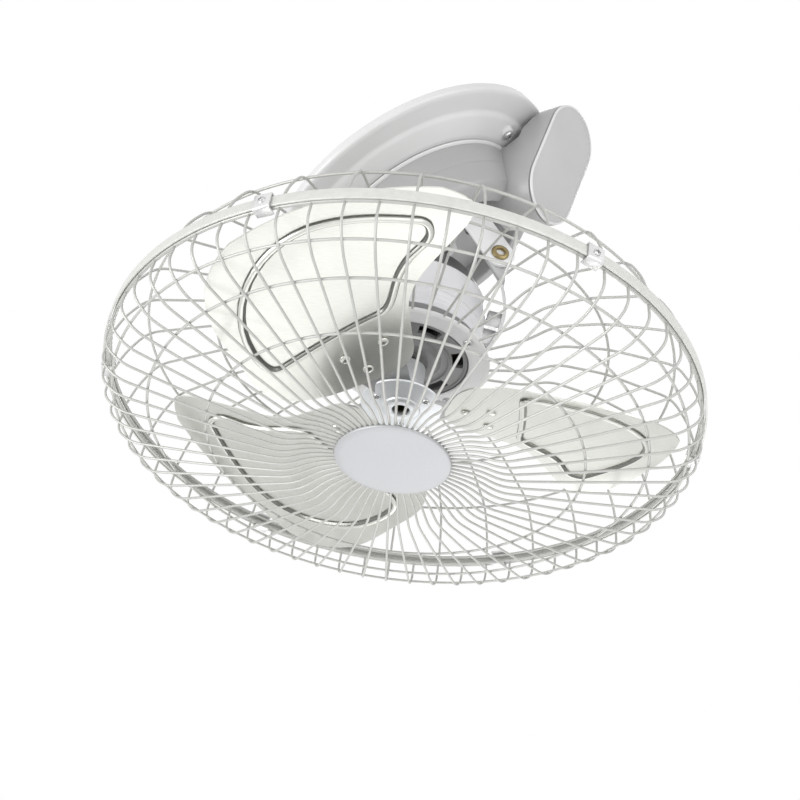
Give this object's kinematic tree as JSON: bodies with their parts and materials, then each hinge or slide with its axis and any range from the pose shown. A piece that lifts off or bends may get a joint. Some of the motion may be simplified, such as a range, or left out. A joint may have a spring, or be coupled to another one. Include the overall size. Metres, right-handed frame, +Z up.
{
  "type": "orbit ceiling fan",
  "caption": "Ceiling-mounted orbit fan: a motor-turned arm under a stepped canopy carries a tilting caged fan with broad metal blades.",
  "frame": {"origin": "centre of the mounting plate's flat back, where the orbit axis meets the ceiling", "axes": "+Z up along the orbit axis into the ceiling, +X the way the fan head leans and blows, +Y square to both"},
  "size_m": [0.4319, 0.441, 0.3317],
  "materials": {
    "canopy_paint": "satin pale grey paint",
    "plate_steel": "zinc-plated sheet",
    "screw_steel": "bright zinc",
    "plain_steel": "turned and ground",
    "nylon": "moulded nylon",
    "copper_rings": "turned contact metal",
    "black_plastic": "moulded, fine grain",
    "circuit_board": "solder-masked laminate",
    "bracket_paint": "semi-gloss pale grey paint",
    "brass": "turned",
    "motor_paint": "semi-gloss pale grey paint",
    "copper_wire": "varnished winding wire",
    "wire_coat": "silver-grey coated steel wire",
    "clip_metal": "pressed, satin",
    "badge_plate": "satin disc",
    "badge_back": "moulded",
    "hub_metal": "die-cast",
    "blade_metal": "pressed sheet, satin"
  },
  "bodies": {
    "ceiling_base": {"mount_plate": "plate_steel", "canopy": "canopy_paint", "canopy_screw_1": "screw_steel", "canopy_screw_2": "screw_steel", "canopy_screw_3": "screw_steel", "hanger_stem": "plain_steel", "stem_nut": "screw_steel", "sun_gear": "nylon", "contact_rings": "copper_rings"},
    "orbit_arm": {"arm_housing": "canopy_paint", "nose_panel": "canopy_paint", "orbit_bearing": "plain_steel", "drive_motor": "plain_steel", "brush_block": "black_plastic", "receiver_board": "circuit_board", "receiver_eye": "black_plastic", "run_capacitor": "black_plastic", "yoke": "bracket_paint", "pivot_pin_near": "brass", "pivot_pin_far": "brass"},
    "orbit_pinion": {"drive_pinion": "nylon"},
    "fan_head": {"c_strap": "bracket_paint", "front_shield": "bracket_paint", "motor_drum": "motor_paint", "rear_dome": "motor_paint", "front_race": "plain_steel", "rear_race": "plain_steel", "stator_core": "plain_steel", "winding_front": "copper_wire", "winding_rear": "copper_wire", "rear_guard": "wire_coat", "guard_screw_1": "screw_steel", "guard_screw_2": "screw_steel", "guard_screw_3": "screw_steel", "guard_screw_4": "screw_steel", "rim_band": "wire_coat", "rim_clip_1": "clip_metal", "rim_clip_2": "clip_metal", "rim_clip_3": "clip_metal", "rim_clip_4": "clip_metal", "rim_clip_5": "clip_metal", "rim_clip_6": "clip_metal", "front_guard": "wire_coat", "badge": "badge_plate", "badge_cup": "badge_back"},
    "rotor": {"hub_spider": "hub_metal", "shaft": "plain_steel", "rotor_core": "plain_steel", "blade_1": "blade_metal", "blade_2": "blade_metal", "blade_3": "blade_metal"}
  },
  "joints": [
    {"name": "orbit_turn", "type": "hinge", "parent": "ceiling_base", "child": "orbit_arm", "pos_m": [0, 0, -0.045], "axis": [0, 0, 1], "continuous": true},
    {"name": "pinion_turn", "type": "hinge", "parent": "orbit_arm", "child": "orbit_pinion", "pos_m": [0.01455, -0.0252, -0.014], "axis": [0, 0, 1], "continuous": true},
    {"name": "head_tilt", "type": "hinge", "parent": "orbit_arm", "child": "fan_head", "pos_m": [0, 0, -0.112], "axis": [0, 1, 0], "range_deg": [-5, 20]},
    {"name": "blade_spin", "type": "hinge", "parent": "fan_head", "child": "rotor", "pos_m": [0.11287, 0, -0.18106], "axis": [0.6088, 0, -0.7934], "continuous": true}
  ],
  "couplings": [
    {"joint": "pinion_turn", "follows": "orbit_turn", "ratio": 3}
  ]
}
